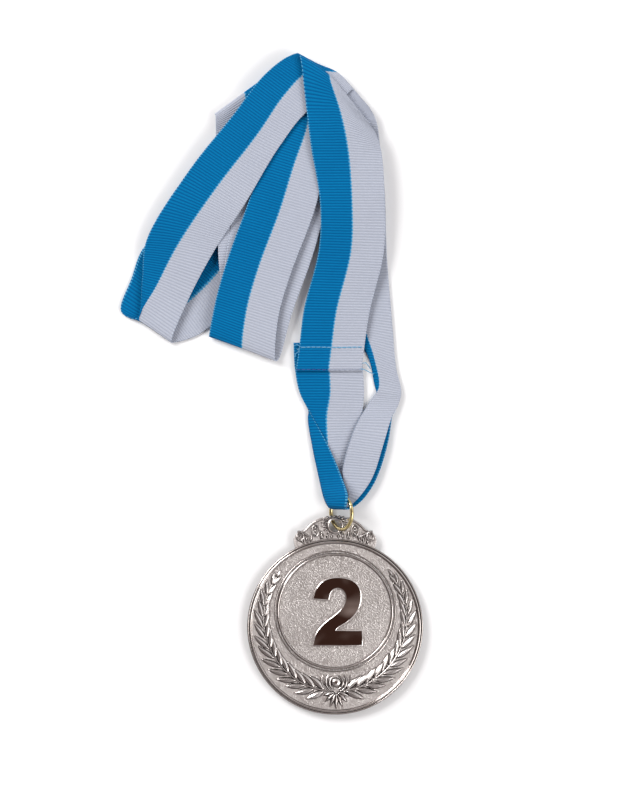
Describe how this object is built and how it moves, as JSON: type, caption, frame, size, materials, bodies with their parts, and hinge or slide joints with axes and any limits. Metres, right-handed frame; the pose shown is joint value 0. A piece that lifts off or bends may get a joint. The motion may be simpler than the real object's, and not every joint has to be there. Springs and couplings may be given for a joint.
{
  "type": "prize medal on neck ribbon",
  "caption": "Round silver place medal with a laurel wreath and a raised numeral, on a brass jump ring and a two-colour woven neck ribbon, laid flat.",
  "frame": {"origin": "centre of the disc's flat back face, with the medal lying face up", "axes": "+Z out of the medal's face, +Y from the disc's centre through the lug towards the ribbon, +X to the right of the numeral"},
  "size_m": [0.1117, 0.2443, 0.0114],
  "materials": {
    "silver": "silver plate, sandblasted field, polished rim, numeral and wreath",
    "brass_wire": "pale polished wire",
    "ribbon": "grosgrain weave, half blue and half white along its length",
    "thread": "light blue sewing thread"
  },
  "bodies": {
    "medal": {"medal_body": "silver"},
    "ring": {"jump_ring": "brass_wire"},
    "ribbon": {"neck_ribbon": "ribbon", "upper_stitch_row": "thread", "lower_stitch_row": "thread"}
  },
  "joints": [
    {"name": "ring_in_lug", "type": "hinge", "parent": "medal", "child": "ring", "pos_m": [0, 0.0373, 0.00275], "axis": [0, 0, 1], "range_deg": [-34, 34]},
    {"name": "ribbon_on_ring", "type": "hinge", "parent": "ring", "child": "ribbon", "pos_m": [0.0023, 0.0485, 0.00582], "axis": [0.6157, -0.0275, 0.7875], "range_deg": [-35, 12]}
  ]
}
